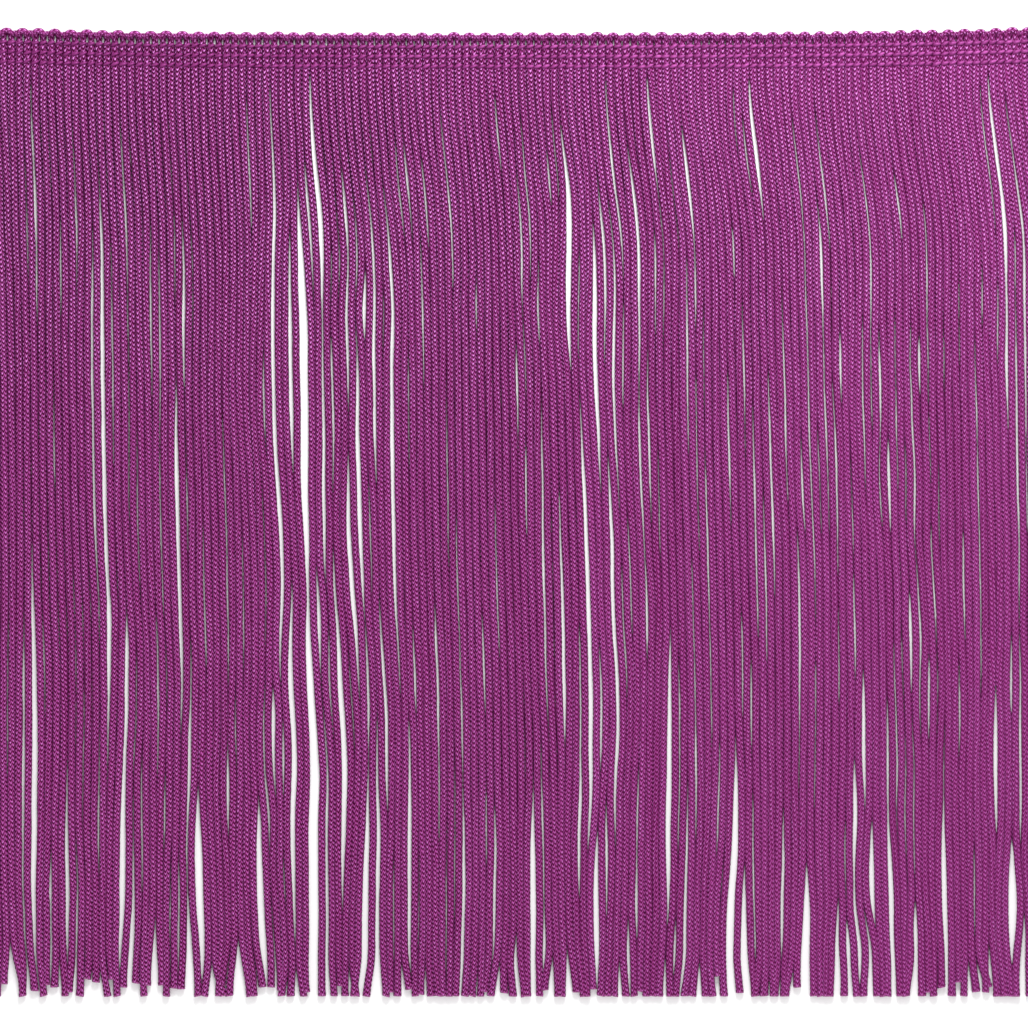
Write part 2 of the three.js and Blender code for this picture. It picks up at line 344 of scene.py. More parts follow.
# The knitted cord: six columns of V stitches round a slightly flattened tube. Its courses are raised in
# the mesh, and the Vs inside a course are bump and colour, as there are 160,000 of them.
cordKnit = {
    "halfWidth": 1.165,
    "halfHeight": 0.94,
    "squeezed": 1.0,  # half width where cords crowd
    "spread": 1.22,  # half width where there is room to fill, at the left end
    "fullest": 1.28,  # and where the stitching gathers them
    "overlap": 0.09,  # neighbours press into each other by this, low down
    "softer": 0.13,  # all three grow by this towards the right end
    "openGap": 0.15,  # a parting as wide as this shows
    "sides": 8,
    "columns": 6,
    "ridge": 0.06,  # relief of a course
    "hollow": 0.09,  # depth between courses
    "uneven": 0.025,  # from one point to the next
    "slowestTwist": 420,  # millimetres for one turn of the columns
    "fastestTwist": 130,
    "lift": 0.45,  # how far crowded cords ride up
    "slotHalfWidth": 0.83,  # drawn in where the light slots are, under the turns
    "slotFlat": 1.0,  # and flatter by this share
    "slotDown": 3.1,
    "slotLength": 0.68,
    "slotLuck": (0.6, 1.05),  # the slots differ from cord to cord
    "slotRight": 0.5,  # and fade by this share towards the right end
    "pinch": 0.2,  # share of the height that the stitching presses in
    "headTop": 1.15,
    "headRow": 0.775,  # between rows in the heading, two to a stitch
    "headRows": 13,
    "freeCourses": 203,
    "slide": 1.1,  # the courses of a cord stretch and crowd by this, to and fro
    "slideEnds": 0.05,  # but not near its ends: measured as t(1 - t) along it
    "rounds": (12, 40),  # gathered by the stitching above, round below
    "sways": (14, 45),  # they sway and ride up below this stretch
    "sway": 0.08,
    "twistSway": 0.25,  # radians
    "crowdedAt": 2.3,  # cords less wide than this are crowded
    "crowdedBy": 0.25,  # and fully so when they are narrower by this
    "onFloor": 0.01,  # no point lies lower
}

# Slow random curves along the cords, by the wavelengths that each is made of
waves = {
    "slide": (140, 75),
    "sway": (90, 41, 23),
    "lift": (120, 57),
    "twist": (70, 31),
    "paintedSparkle": (60, 27),
    "paintedSparkleSide": (190, 110),
    "paintedLegLightSide": (260, 150),
}

cutEnd = {
    "slant": 0.12,  # how far off square a cord is cut, and how uneven the cut is
    "slantLength": 1.2,
    "uneven": 0.15,
    "flare": 0.09,  # it opens by this share
    "flareLength": 1.6,
    "lean": 0.5,  # sideways curl of the ends, and of the few that curl most
    "farLean": 1.7,
    "farShare": 0.16,
    "leanLength": 20,
    "leanPast": 2,  # the curl would end this far past the cut
    "bright": 0.7,  # length of the paler cut edge
}
stitching = {
    "downs": (4.5, 7.6, 10.7),
    "reach": 0.55,  # how far above and below itself a row presses the cords in
    "coverUp": 0.15,  # it covers them a little higher up
    "halfLength": 1.1,
    "halfThick": 0.5,
    "slant": 0.4,  # rise over run, up to the right
    "lay": 1.72,  # height of a stitch's middle
    "rise": 0.1,  # its right end rides higher
    "dip": 0.62,  # how far its ends sink between the cords
    "rings": 8,
    "sides": 6,
    "taper": 0.35,
    "thicker": 0.15,  # towards the right end
    "lengthLuck": 0.04,  # how much the stitches differ
    "slantLuck": 0.3,
    "acrossLuck": 0.05,
    "downLuck": 0.07,
    "thickLuck": 0.06,
    "bright": 0.25,  # painted sparkle at the left end, and what is added towards the right
    "paintedSparkleMoreRight": 0.7,
    "paintedSparkleLuck": (0.5, 1.15),
}


def bowAt(across):
    # the heading sags by 1 - |x|^3 of its depth, x from -1 to 1 along it
    return trim["bowDepth"] * (1 - np.abs(2 * across / trimWidth - 1) ** 3)


def slowWave(count, down, wavelengths):
    # a smooth random curve for each cord, the mean of one sine for each wavelength, between -1 and 1
    total = 0
    for wavelength in wavelengths:
        phase = dice.uniform(0, 2 * np.pi, (count, 1))
        stretch = dice.uniform(0.8, 1.25, (count, 1))
        total = total + np.sin(2 * np.pi * down * stretch / wavelength + phase)
    return total / len(wavelengths)


def cordRows():
    # the rows of every cord, two to a course: how far down they are, and where the middle of the
    # section lies
    knit = cordKnit
    short = np.zeros(cordCount)
    foot = cordPlaces[:, -1]
    for across, less in shortCuts:
        short[np.abs(foot - across).argmin()] = less
    short = short + dice.uniform(0, cutEnd["uneven"], cordCount)
    head = knit["headTop"] + knit["headRow"] * np.arange(knit["headRows"] + 1)
    free = np.linspace(0, 1, 2 * knit["freeCourses"] + 1)[1:]
    end = (trim["cutLine"] - short)[:, None]
    offEnds = smoothStep(free * (1 - free), 0, knit["slideEnds"])
    slid = knit["slide"] * slowWave(cordCount, free * end, waves["slide"]) * offEnds
    below = head[-1] + (end - head[-1]) * free + slid
    down = np.concatenate([np.repeat(head[None], cordCount, 0), below], 1)
    across = np.stack([np.interp(down[i], stationDown, cordPlaces[i]) for i in range(cordCount)])
    root = (np.arange(cordCount) + 0.5) * trim["cordPitch"]
    share = np.clip((down - trim["rootDown"]) / (trim["cutLine"] - trim["rootDown"]), 0, 1)
    along = -down - bowAt(root)[:, None] * (1 - share)
    loose = smoothStep(down, *knit["sways"])
    across = across + knit["sway"] * loose * slowWave(cordCount, down, waves["sway"])
    lean = dice.normal(0, cutEnd["lean"], (cordCount, 1))
    curlsFar = dice.random((cordCount, 1)) < cutEnd["farShare"]
    lean = np.where(curlsFar, lean * cutEnd["farLean"] / cutEnd["lean"], lean)
    across = across + lean * smoothStep(down, end - cutEnd["leanLength"], end + cutEnd["leanPast"]) ** 2
    return down, across, along


rowDown, rowAcross, rowAlong = cordRows()
towardsRight = smoothStep(rowAcross / trimWidth, 0.25, 1.05)


def roomBesideCords():
    # the half widths of each cord to its left and right: it fills what room it has, down to squeezed
    # and up to spread, and keeps to its own width beside a parting. Crowded cords ride up by turns.
    knit = cordKnit
    spacing = np.diff(rowAcross, axis=0)
    gap = np.stack([np.interp(rowDown[i], stationDown, cordGaps[i]) for i in range(cordCount - 1)])
    opened = smoothStep(gap, 0, knit["openGap"])
    opened = opened * smoothStep(rowDown[:-1], *placing["opens"])
    softer = knit["softer"] * towardsRight
    free = smoothStep(rowDown, *knit["rounds"])
    most = softer + knit["fullest"] + (knit["spread"] - knit["fullest"]) * free
    wide = np.full((1, rowAcross.shape[1]), 9.0)  # more than any cord fills
    halves = []
    for order in (1, -1):
        room = np.concatenate([wide, spacing][::order])
        parted = np.concatenate([wide * 0 + 1, opened][::order])
        fill = np.clip(room / 2 + knit["overlap"] + softer, knit["squeezed"], most)
        halves.append(fill + (np.minimum(fill, knit["halfWidth"]) - fill) * parted)
    left, right = halves
    crowd = np.clip((knit["crowdedAt"] - (left + right)) / knit["crowdedBy"], 0, 1)
    crowd = crowd * smoothStep(rowDown, *knit["sways"])
    byTurns = 0.5 + 0.5 * slowWave(cordCount, rowDown, waves["lift"])
    return left, right, knit["lift"] * crowd * byTurns


halfLeft, halfRight, rowLift = roomBesideCords()


def twistOfCords():
    # each cord's columns start at a random angle and turn slowly, one way or the other, with a slow waver
    knit = cordKnit
    turn = 2 * np.pi / dice.uniform(knit["fastestTwist"], knit["slowestTwist"], (cordCount, 1))
    turn = turn * dice.choice([-1, 1], (cordCount, 1))
    start = dice.uniform(0, 2 * np.pi, (cordCount, 1))
    return start + turn * rowDown + knit["twistSway"] * slowWave(cordCount, rowDown, waves["twist"])


waleAngle = twistOfCords()
cutSlants = dice.normal(0, cutEnd["slant"], (cordCount, 1))
pointLuck = dice.normal(0, 1, (*rowDown.shape, cordKnit["sides"]))
slotLuck = dice.uniform(*cordKnit["slotLuck"], (cordCount, 1))


def knitTubes(cords, rows):
    # Rings of points round the section. Rows are courses and hollows by turns: the radius is the
    # section's, raised at a course and lowered between two, less so at the sides, where neighbours
    # touch. A section is widest low down, where it meets its neighbours, and narrower above.
    knit = cordKnit
    down, across, along, lift = (x[cords, rows] for x in (rowDown, rowAcross, rowAlong, rowLift))
    left, right = halfLeft[cords, rows], halfRight[cords, rows]
    side = np.arange(knit["sides"])
    isCourse = (np.arange(rowDown.shape[1])[rows] % 2 == 0)[:, None]
    slot = hill(down, knit["slotDown"], knit["slotLength"]) * slotLuck[cords]
    slot = slot * (1 - knit["slotRight"] * towardsRight[cords, rows])
    left = left + (knit["slotHalfWidth"] - left) * slot
    right = right + (knit["slotHalfWidth"] - right) * slot
    pinch = sum(hill(down, row, stitching["reach"]) for row in stitching["downs"])
    halfHeight = knit["halfHeight"] * (1 - knit["pinch"] * pinch - knit["slotFlat"] * slot)
    toCut = rowDown[cords, -1:] - down
    flare = hill(toCut, 0, cutEnd["flareLength"])
    halfHeight = halfHeight * (1 - cutEnd["flare"] * flare)
    angle = waleAngle[cords, rows][..., None] + 2 * np.pi * side / knit["sides"]
    sideways, upwards = np.cos(angle), np.sin(angle)
    hollow = knit["hollow"] * smoothStep(upwards, -0.2, 0.6)
    relief = np.where(isCourse, knit["ridge"], -hollow) + pointLuck[cords, rows] * knit["uneven"]
    relief = relief * (1 - 0.5 * np.clip(pinch, 0, 1))[..., None]
    low = np.where(sideways < 0, left[..., None], right[..., None])
    low = low / np.abs(sideways).max(-1, keepdims=True)
    fuller = smoothStep(down, *knit["rounds"])[..., None]
    half = low + (np.minimum(low, knit["halfWidth"]) - low) * smoothStep(upwards, 0.02, 0.6) * fuller
    width = sideways * (half * (1 + cutEnd["flare"] * flare)[..., None] + relief)
    height = upwards * (halfHeight[..., None] + relief)
    slope = (np.gradient(rowAcross, axis=1) / np.gradient(-rowAlong, axis=1))[cords, rows][..., None]
    cutSlant = cutSlants[cords, :, None] * width * hill(toCut, 0, cutEnd["slantLength"])[..., None]
    x = across[..., None] + width
    y = along[..., None] + slope * width + cutSlant
    z = halfHeight[..., None] + knit["ridge"] + lift[..., None] + height
    return np.stack([x, y, np.maximum(z, knit["onFloor"])], -1)


def tubeCells(tubes, rings, sides):
    # the tube, the ring above and the first side of every four-cornered face
    return np.meshgrid(np.arange(tubes), np.arange(rings - 1), np.arange(sides), indexing="ij")


def tubeFaces(tubes, rings, sides):
    # four-cornered faces between neighbouring rings of several tubes, and one many-cornered face over
    # each end
    tube, ring, side = tubeCells(tubes, rings, sides)
    start = (tube * rings + ring) * sides
    after = (side + 1) % sides
    quads = np.stack([start + side, start + after, start + sides + after, start + sides + side], -1)
    first = np.arange(tubes)[:, None] * rings * sides
    turn = np.arange(sides)
    ends = np.concatenate([first + turn[::-1], first + (rings - 1) * sides + turn])
    return quads.reshape(-1, 4), ends


def tubeUv(tubes, rings, sides, around, along):
    # u runs from 0 to "around" round the tube, v follows "along" from ring to ring
    u = np.arange(sides + 1) * around / sides
    v = np.broadcast_to(along, (tubes, rings))
    tube, ring, side = tubeCells(tubes, rings, sides)
    cornersU = np.stack([u[side], u[side + 1], u[side + 1], u[side]], -1)
    cornersV = np.stack([v[tube, ring], v[tube, ring], v[tube, ring + 1], v[tube, ring + 1]], -1)
    quads = np.stack([cornersU, cornersV], -1).reshape(-1, 2)
    endsV = np.repeat(np.concatenate([v[:, 0], v[:, -1]]), sides)
    ends = np.stack([np.tile(u[:sides], 2 * tubes), endsV], -1)
    return np.concatenate([quads, ends])


def makeTubes(name, points, around, along, values):
    # one mesh from an array of tubes by rings by sides, with its UV map, and values of rings or points
    # as attributes
    tubes, rings, sides, _ = points.shape
    quads, ends = tubeFaces(tubes, rings, sides)
    places = toFrame(points.reshape(-1, 3))
    corners = np.concatenate([quads.ravel(), ends.ravel()])
    counts = np.concatenate([np.full(len(quads), 4), np.full(len(ends), sides)])
    mesh = bpy.data.meshes.new(name)
    mesh.vertices.add(len(places))
    mesh.vertices.foreach_set("co", places.astype(np.float32).ravel())
    mesh.loops.add(len(corners))
    mesh.loops.foreach_set("vertex_index", corners.astype(np.int32))
    mesh.polygons.add(len(counts))
    mesh.polygons.foreach_set("loop_start", (np.cumsum(counts) - counts).astype(np.int32))
    mesh.polygons.foreach_set("use_smooth", counts == 4)
    mesh.update(calc_edges=True)
    uvMap = mesh.uv_layers.new(name="knit")
    uvMap.uv.foreach_set("vector", tubeUv(tubes, rings, sides, around, along).astype(np.float32).ravel())
    for label, value in values.items():
        value = value if np.ndim(value) == 3 else np.reshape(value, (tubes, -1, 1))
        spread = np.broadcast_to(value, (tubes, rings, sides))
        attribute = mesh.attributes.new(label, "FLOAT", "POINT")
        attribute.data.foreach_set("value", spread.astype(np.float32).ravel())
    isEnd = np.zeros((tubes, rings, sides), bool)
    isEnd[:, [0, -1]] = True
    pairs = np.empty(len(mesh.edges) * 2, np.int32)
    mesh.edges.foreach_get("vertices", pairs)
    sharp = isEnd.ravel()[pairs.reshape(-1, 2)].all(1)
    mesh.edges.foreach_set("use_edge_sharp", sharp)
    piece = bpy.data.objects.new(name, mesh)
    bpy.context.scene.collection.objects.link(piece)
    return piece


# How the painted sparkle, painted light and painted shade change over the trim. What ends in Right or
# Foot is the share that is lost towards there, where no note says otherwise.
looks = {
    "paintedSparkle": 0.24,  # at the foot
    "paintedSparkleMore": 0.56,  # added near the heading
    "paintedSparkleFades": (40, 150),
    "paintedSparkleSway": 0.3,  # along a cord
    "paintedSparkleTone": 0.08,  # from cord to cord
    "paintedSparkleRight": 0.3,
    "bare": (2.0, 3.2),  # the turns cover the cords above this stretch, and there is no painted sparkle there
    "paintedSparkleSideSway": 0.8,  # of the side whose painted sparkle is stronger
    # how far the side with the stronger painted leg highlight sways
    "paintedLegLightSway": 0.9,
    # the colour's level, to which the painted light of each place is added
    "dyeAndPaintedLight": 0.786,
    "paintedLightFoot": 0.04,  # added at the foot
    "paintedLightSlope": 0.03,  # from end to end near the heading
    "paintedLightSlopeFoot": 0.18,  # less this at the foot
    "paintedShadeAndDent": 1.08,  # of the painted shade in the dark lines, and of their dents
    "paintedShadeAndDentRight": 0.5,
    "paintedShadeAndDentFoot": 0.35,  # at the right end
    "paintedLightAndShadeStretch": (40, 270),  # the stretch where the painted light and the depth of the painted shade change
    "leftRight": 0.85,  # the painted side shade and the painted sparkle slope that mark the left upper part
    "leftFoot": 0.65,
    "leftFades": (50, 190),
    "facing": 0.55,  # painted sparkle at a cord's sides
    "facingTop": 0.45,  # added on top
    "facingLeft": 0.3,  # this slope is added at the left
    "facingLevel": 0.6,  # about this height on the section
    # painted shade on a cord's sides: where it starts, as the cosine round the section, and how dark it is
    # at most
    "paintedSideShadeFrom": 0.45,
    "paintedSideShade": 0.32,
}
cordTone = dice.normal(0, 1, (cordCount, 1))
# Painted sparkle: how strong the painted glints and highlights are. Greatest near the heading and fading
# down the cords, swaying along each cord and differing from cord to cord, less towards the right end, and
# none under the stitching or the turns
paintedSparkleNearHeading = 1 - smoothStep(rowDown, *looks["paintedSparkleFades"])
paintedSparkleNearHeading = looks["paintedSparkle"] + looks["paintedSparkleMore"] * paintedSparkleNearHeading
covered = sum(hill(rowDown, row - stitching["coverUp"], stitching["reach"]) for row in stitching["downs"])
swaying = looks["paintedSparkleSway"] * slowWave(cordCount, rowDown, waves["paintedSparkle"])
cordPaintedSparkle = paintedSparkleNearHeading * (1 + swaying + looks["paintedSparkleTone"] * cordTone) * (1 - covered)
cordPaintedSparkle = cordPaintedSparkle * (1 - looks["paintedSparkleRight"] * towardsRight)
cordPaintedSparkle = cordPaintedSparkle * smoothStep(rowDown, *looks["bare"])
# the side of each cord whose painted sparkle is stronger, swaying along it
paintedSparkleSide = looks["paintedSparkleSideSway"] * slowWave(cordCount, rowDown, waves["paintedSparkleSide"])
# which legs of the Vs get the stronger painted highlight, swaying along each cord
cordPaintedLegLightSide = np.clip(looks["paintedLegLightSway"] * slowWave(cordCount, rowDown, waves["paintedLegLightSide"]), -1, 1)
cordCutEdge = smoothStep(rowDown, rowDown[:, -1:] - cutEnd["bright"], rowDown[:, -1:])


def dyeAndPaintedLightAt(across, down):
    # painted light: the colour is scaled a little darker towards the left end near the heading, and towards
    # the right end at the foot
    toFoot = smoothStep(down, *looks["paintedLightAndShadeStretch"])
    slope = looks["paintedLightSlope"] - looks["paintedLightSlopeFoot"] * toFoot
    return looks["dyeAndPaintedLight"] + looks["paintedLightFoot"] * toFoot + slope * (across / trimWidth - 0.5)


cordDyeAndPaintedLight = dyeAndPaintedLightAt(rowAcross, rowDown)
# depth of the painted shade in the dark lines and of their dents: less towards the right end, and less still
# there at the foot
fadingDown = looks["paintedShadeAndDentFoot"] * towardsRight * smoothStep(rowDown, *looks["paintedLightAndShadeStretch"])
cordPaintedShadeAndDent = (looks["paintedShadeAndDent"] - looks["paintedShadeAndDentRight"] * towardsRight) * (1 - fadingDown)
courseCount = np.arange(rowDown.shape[1]) / 2


def makeCords(name, cords, rows):
    # a cord has more painted sparkle on top than at its sides, and more on one side than on the other, and
    # painted shade darkens its sides: all this fades towards the right end and the foot
    angle = waleAngle[cords, rows][..., None] + 2 * np.pi * np.arange(cordKnit["sides"]) / cordKnit["sides"]
    leftward = 1 - looks["leftFoot"] * smoothStep(rowDown[cords, rows], *looks["leftFades"])
    leftward = ((1 - looks["leftRight"] * towardsRight[cords, rows]) * leftward)[..., None]
    # painted sparkle: stronger on top than at the sides, tilted more at the left upper part, and stronger on
    # one side
    facing = looks["facing"] + looks["facingTop"] * np.sin(angle)
    facing = facing + looks["facingLeft"] * leftward * (np.sin(angle) - looks["facingLevel"])
    facing = facing * (1 + paintedSparkleSide[cords, rows][..., None] * np.cos(angle))
    # painted shade on the sides of a cord, deepest at the left upper part
    sides = smoothStep(np.abs(np.cos(angle)), looks["paintedSideShadeFrom"], 1)
    values = {
        "tone": cordTone[cords],
        "paintedSparkle": cordPaintedSparkle[cords, rows][..., None] * np.maximum(facing, 0),
        "paintedLegLightSide": cordPaintedLegLightSide[cords, rows],
        "cutEdge": cordCutEdge[cords, rows],
        "dyeAndPaintedLight": cordDyeAndPaintedLight[cords, rows][..., None] * (1 - looks["paintedSideShade"] * leftward * sides),
        "paintedShadeAndDent": cordPaintedShadeAndDent[cords, rows],
    }
    return makeTubes(name, knitTubes(cords, rows), cordKnit["columns"], courseCount[rows], values)


fringePieces = []
cordsEach = 22
for first in range(0, cordCount, cordsEach):
    name = f"freeCords{first // cordsEach + 1}"
    fringePieces.append(makeCords(name, slice(first, first + cordsEach), slice(cordKnit["headRows"], None)))
headingPiece = makeCords("headingCords", slice(None), slice(0, cordKnit["headRows"] + 1))
print("cords knitted", sum(len(p.data.polygons) for p in fringePieces + [headingPiece]))

# The turns along the upper edge, of the same knitted cord. Each turn rises out of the crease on its
# left, crests and goes down steeply on the right, and a low saddle runs out from under it and below the
# start of the next turn.
hairpinTurn = {
    "crest": 0.95,  # pitches from the left edge of a hairpin to the crest of its turn
    "steps": 15,
    "sides": 8,
    "courses": 5,
    "wander": 0.07,  # how much the turns differ
    "sizeLuck": 0.035,
    "thickLuck": 0.05,
    "lowest": 0.05,
    "paintedSparkle": 0.6,  # painted sparkle at the left end, and what is added towards the right
    "paintedSparkleMore": 0.7,
    "dyeAndPaintedLight": 1.2,  # the turns are painted this much lighter than the cords below
    # depth of the painted shade in the turns' dark lines, and of their dents
    "paintedShadeAndDent": 0.6,
}
turnPath = np.array([
    # across from the crest, along, height, half thickness, painted sparkle
    (-2.20, -2.40, 0.80, 0.40, 0.1),
    (-1.74, -1.80, 1.15, 0.64, 0.2),
    (-1.05, -1.08, 1.45, 0.85, 0.6),
    (0.00, -0.72, 1.55, 0.88, 1.0),
    (0.98, -0.98, 1.48, 0.87, 1.0),
    (1.55, -1.70, 1.15, 0.68, 0.2),
    (1.30, -2.40, 0.80, 0.40, 0.0),
])
saddlePath = np.array([
    (0.60, -2.00, 0.75, 0.45, 0.4),
    (1.60, -1.50, 0.92, 0.64, 0.9),
    (2.60, -1.30, 1.00, 0.70, 1.2),
    (3.60, -1.50, 0.88, 0.64, 0.8),
    (4.40, -2.20, 0.65, 0.45, 0.2),
])


def smoothPath(rows, count):
    # a Catmull-Rom curve through the rows: each stretch is the cubic that leaves a point along its
    # neighbours' chord
    padded = np.concatenate([[2 * rows[0] - rows[1]], rows, [2 * rows[-1] - rows[-2]]])
    t = np.linspace(0, len(rows) - 1, count)
    i = np.minimum(t.astype(int), len(rows) - 2)
    s = (t - i)[:, None]
    a, b, c, d = padded[i], padded[i + 1], padded[i + 2], padded[i + 3]
    square = (2 * a - 5 * b + 4 * c - d) * s ** 2
    cube = (3 * b - a - 3 * c + d) * s ** 3
    return 0.5 * (2 * b + (c - a) * s + square + cube)


def sweptTubes(middles, radii, sides):
    # rings square to each path, the first side level and the second above it
    tangent = np.gradient(middles, axis=-2)
    tangent = tangent / np.linalg.norm(tangent, axis=-1, keepdims=True)
    level = np.cross(np.broadcast_to([0.0, 0.0, 1.0], tangent.shape), tangent)
    level = level / np.linalg.norm(level, axis=-1, keepdims=True)
    over = np.cross(tangent, level)
    angle = 2 * np.pi * np.arange(sides) / sides
    ring = level[..., None, :] * np.cos(angle)[:, None] + over[..., None, :] * np.sin(angle)[:, None]
    return middles[..., None, :] + ring * radii[..., None, None]


def makeTurns(name, rows, count):
    turn = hairpinTurn
    path = smoothPath(rows, turn["steps"])
    crest = (2 * np.arange(count) + turn["crest"]) * trim["cordPitch"]
    shift = np.stack([crest, -bowAt(crest), np.zeros(len(crest))], -1)
    wobble = dice.normal(0, turn["wander"], (count, 1, 3)) * np.array([1, 1, 0.5])
    middles = path[None, :, :3] * dice.normal(1, turn["sizeLuck"], (count, 1, 1)) + shift[:, None] + wobble
    radii = path[None, :, 3] * dice.normal(1, turn["thickLuck"], (count, 1))
    points = sweptTubes(middles, radii, turn["sides"])
    points[..., 2] = np.maximum(points[..., 2], turn["lowest"])
    zero = np.zeros((count, 1))
    # painted sparkle of each turn, more towards the right end, and along its path by the last column
    paintedSparkle = turn["paintedSparkle"] + turn["paintedSparkleMore"] * smoothStep(crest / trimWidth, 0.1, 0.9)
    values = {
        "tone": dice.normal(0, 1, count),
        "paintedSparkle": path[None, :, 4] * paintedSparkle[:, None],
        "paintedLegLightSide": zero,
        "cutEdge": zero,
        # painted light of the place, with the turns painted lighter than the cords
        "dyeAndPaintedLight": turn["dyeAndPaintedLight"] * dyeAndPaintedLightAt(crest, 0)[:, None],
        "paintedShadeAndDent": zero + turn["paintedShadeAndDent"],
    }
    courses = np.linspace(0, turn["courses"], turn["steps"])
    return makeTubes(name, points, cordKnit["columns"], courses, values)


turnPieces = [
    makeTurns("hairpinTurns", turnPath, trim["hairpins"]),
    makeTurns("hairpinSaddles", saddlePath, trim["hairpins"] - 1),
]


def makeStitches(name, down):
    # one bar of thread over each cord, arched, its ends sunk between the cords
    sew = stitching
    centre = (np.arange(cordCount) + 0.5) * trim["cordPitch"]
    each = (cordCount, 1)
    t = np.linspace(-1, 1, sew["rings"])
    run = dice.normal(1, sew["lengthLuck"], each) * sew["halfLength"] * t
    slant = sew["slant"] * dice.normal(1, sew["slantLuck"], each)
    x = centre[:, None] + run + dice.normal(0, sew["acrossLuck"], each)
    y = -down - bowAt(centre)[:, None] + run * slant + dice.normal(0, sew["downLuck"], each)
    z = sew["lay"] + sew["rise"] * t - sew["dip"] * np.abs(t) ** 3 + np.zeros_like(x)
    radii = sew["halfThick"] * (1 - sew["taper"] * np.abs(t) ** 4) * dice.normal(1, sew["thickLuck"], each)
    radii = radii * (1 + sew["thicker"] * smoothStep(centre / trimWidth, 0.5, 1)[:, None])
    points = sweptTubes(np.stack([x, y, z], -1), radii, sew["sides"])
    # painted sparkle of each stitch: more towards the right end of the trim, differing at random, and along
    # the stitch weak at its left end and strongest towards its right end
    bright = sew["bright"] + sew["paintedSparkleMoreRight"] * smoothStep(centre / trimWidth, 0.12, 0.7)
    bright = bright * dice.uniform(*sew["paintedSparkleLuck"], cordCount)
    paintedSparkle = bright[:, None] * np.clip(0.5 + 0.5 * t - 0.4 * np.abs(t) ** 6, 0, 1)
    values = {"tone": dice.normal(0, 1, cordCount), "paintedSparkle": paintedSparkle}
    return makeTubes(name, points, 1, np.linspace(0, 2, len(t)), values)


stitchPieces = [makeStitches(f"stitches{i + 1}", down) for i, down in enumerate(stitching["downs"])]
print("turns and stitches made")


# Materials
def newMaterial(name):
    material = bpy.data.materials.new(name)
    material.use_nodes = True
    tree = material.node_tree
    shader = next(n for n in tree.nodes if n.type == "BSDF_PRINCIPLED")
    return material, tree, shader


def setInputs(shader, values):
    for label, value in values.items():
        shader.inputs[label].default_value = value


def calc(tree, operation, a, b=None):
    # one Math node. A number is set on its socket, anything else is linked to it
    node = tree.nodes.new("ShaderNodeMath")
    node.operation = operation
    for socket, value in zip(node.inputs, (a, b)):
        if isinstance(value, (int, float)):
            socket.default_value = value
        elif value is not None:
            tree.links.new(value, socket)
    return node.outputs[0]


def product(tree, *values):
    total = values[0]
    for value in values[1:]:
        total = calc(tree, "MULTIPLY", total, value)
    return total


def blendColour(tree, factor, a, b):
    # one Mix node between two colours, its factor held between 0 and 1
    node = tree.nodes.new("ShaderNodeMix")
    node.data_type = "RGBA"
    node.clamp_factor = True
    tree.links.new(factor, node.inputs["Factor"])
    for socket, value in ((node.inputs[6], a), (node.inputs[7], b)):
        if isinstance(value, tuple):
            socket.default_value = (*value, 1)
        else:
            tree.links.new(value, socket)
    return node.outputs[2]


def newGroup(name, ins, outs):
    group = bpy.data.node_groups.new(name, "ShaderNodeTree")
    for label, kind in ins:
        group.interface.new_socket(label, in_out="INPUT", socket_type=kind)
    for label, kind in outs:
        group.interface.new_socket(label, in_out="OUTPUT", socket_type=kind)
    return group, group.nodes.new("NodeGroupInput"), group.nodes.new("NodeGroupOutput")


def makeFilamentGroup():
    # fine streaks along a yarn: noise that is stretched out along it
    group, given, out = newGroup(
        "filaments",
        [("Along", "NodeSocketFloat"), ("Across", "NodeSocketFloat"), ("Lines", "NodeSocketFloat")],
        [("Streak", "NodeSocketFloat")],
    )
    joined = group.nodes.new("ShaderNodeCombineXYZ")
    finer = calc(group, "MULTIPLY", given.outputs["Across"], given.outputs["Lines"])
    group.links.new(finer, joined.inputs[0])
    group.links.new(given.outputs["Along"], joined.inputs[1])
    noise = group.nodes.new("ShaderNodeTexNoise")
    noise.inputs["Scale"].default_value = 1.0
    noise.inputs["Detail"].default_value = 2.0
    group.links.new(joined.outputs[0], noise.inputs["Vector"])
    group.links.new(noise.outputs["Fac"], out.inputs["Streak"])
    return group


filamentGroup = makeFilamentGroup()


def streaks(tree, along, across, lines):
    node = tree.nodes.new("ShaderNodeGroup")
    node.node_tree = filamentGroup
    tree.links.new(along, node.inputs["Along"])
    tree.links.new(across, node.inputs["Across"])
    node.inputs["Lines"].default_value = lines
    return node.outputs["Streak"]


def uvParts(tree):
    uvMap = tree.nodes.new("ShaderNodeUVMap")
    uvMap.uv_map = "knit"
    parts = tree.nodes.new("ShaderNodeSeparateXYZ")
    tree.links.new(uvMap.outputs[0], parts.inputs[0])
    return parts.outputs[0], parts.outputs[1]


def attributeOf(tree, label):
    node = tree.nodes.new("ShaderNodeAttribute")
    node.attribute_name = label
    return node.outputs["Fac"]


def crestsOf(tree, value, sharpness, offset=0.0):
    # 1 on whole numbers (or offset from them), 0 half way between, narrower the sharper
    turned = calc(tree, "MULTIPLY", calc(tree, "SUBTRACT", value, offset), 2 * np.pi)
    wave = calc(tree, "ADD", calc(tree, "MULTIPLY", calc(tree, "COSINE", turned), 0.5), 0.5)
    return calc(tree, "POWER", wave, sharpness)


def setBump(tree, shader, height, strength, distance):
    bump = tree.nodes.new("ShaderNodeBump")
    bump.inputs["Strength"].default_value = strength
    bump.inputs["Distance"].default_value = distance
    tree.links.new(height, bump.inputs["Height"])
    tree.links.new(bump.outputs[0], shader.inputs["Normal"])


